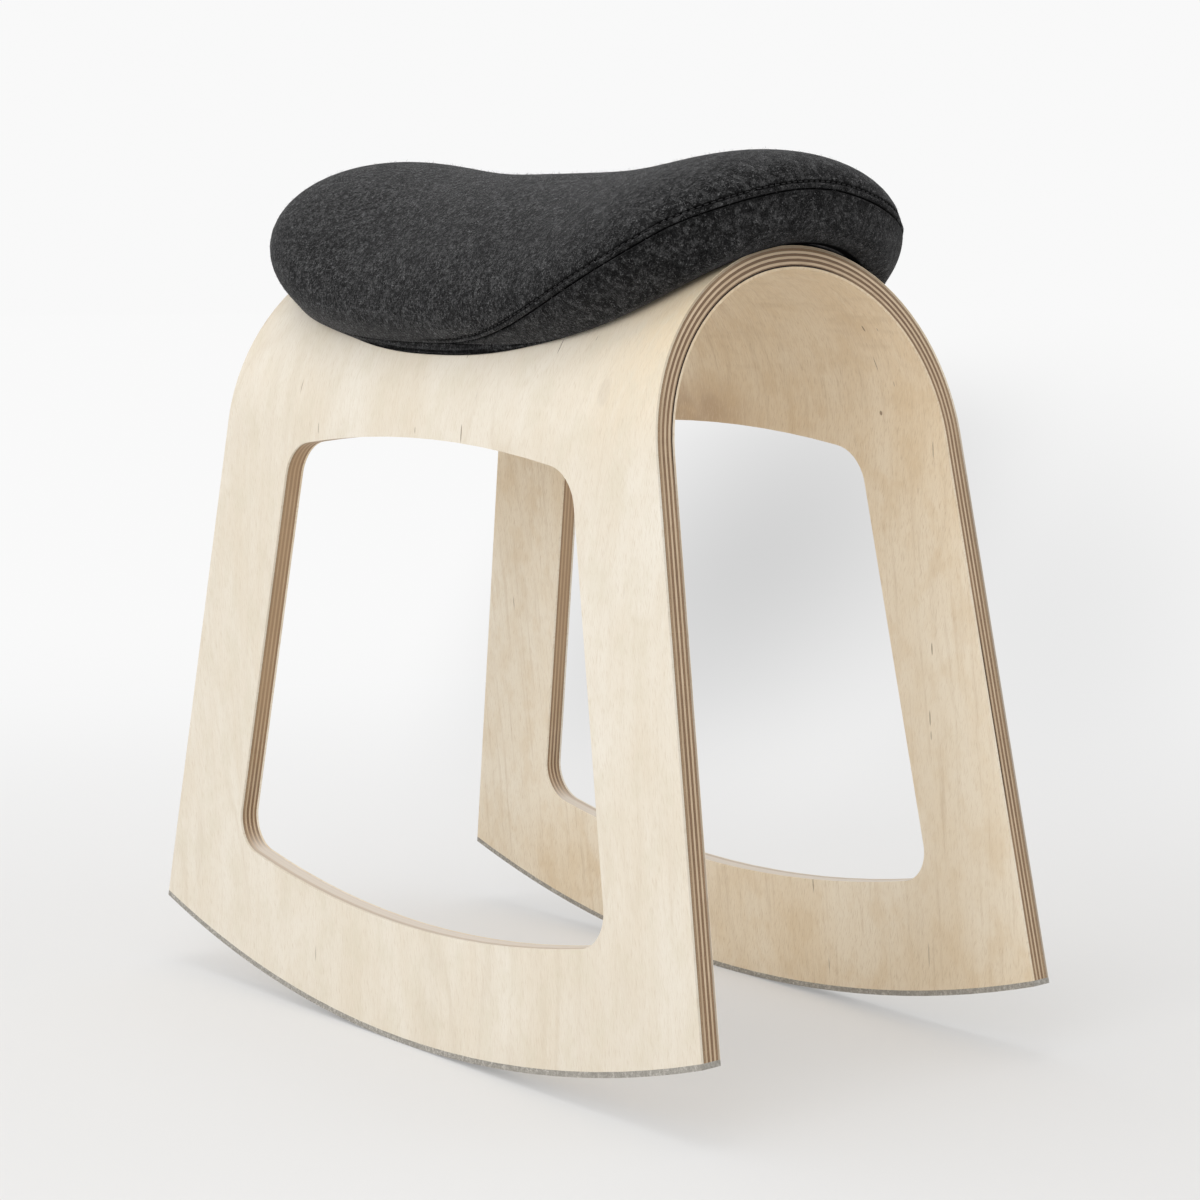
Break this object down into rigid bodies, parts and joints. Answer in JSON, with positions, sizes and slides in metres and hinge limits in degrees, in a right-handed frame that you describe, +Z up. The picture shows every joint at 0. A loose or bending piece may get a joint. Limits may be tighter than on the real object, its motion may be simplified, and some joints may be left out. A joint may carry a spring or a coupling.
{
  "type": "rocking stool",
  "caption": "Rocking stool: a bent plywood arch with a rounded window in each leg and curved, felt-edged rockers, and a saddle cushion of charcoal felt over its crown.",
  "frame": {"origin": "on the floor under the middle of the arch, at the centre of the object's outline seen from above", "axes": "+X across the arch from the left leg to the right leg, +Y from the front to the back along the way it rocks, +Z up"},
  "size_m": [0.2506, 0.4836, 0.4751],
  "materials": {
    "birch_face": "clear matt lacquer over pale birch",
    "dark_veneer": "sealed end grain, dark",
    "light_veneer": "sealed long grain, mid tone",
    "rocker_felt": "dense mottled grey felt",
    "fastening_tape": "woven black tape",
    "foam": "open-cell upholstery foam",
    "cushion_felt": "charcoal heather wool felt"
  },
  "bodies": {
    "root": {"outer_face_veneer": "birch_face", "core_veneer_1": "dark_veneer", "core_veneer_2": "light_veneer", "core_veneer_3": "dark_veneer", "core_veneer_4": "light_veneer", "core_veneer_5": "dark_veneer", "core_veneer_6": "light_veneer", "core_veneer_7": "dark_veneer", "inner_face_veneer": "birch_face", "left_felt_strip": "rocker_felt", "right_felt_strip": "rocker_felt", "left_hook_strip": "fastening_tape", "right_hook_strip": "fastening_tape", "left_loop_strip": "fastening_tape", "right_loop_strip": "fastening_tape", "base_panel": "cushion_felt", "foam_core": "foam", "front_gusset": "cushion_felt", "top_panel": "cushion_felt"}
  },
  "joints": []
}
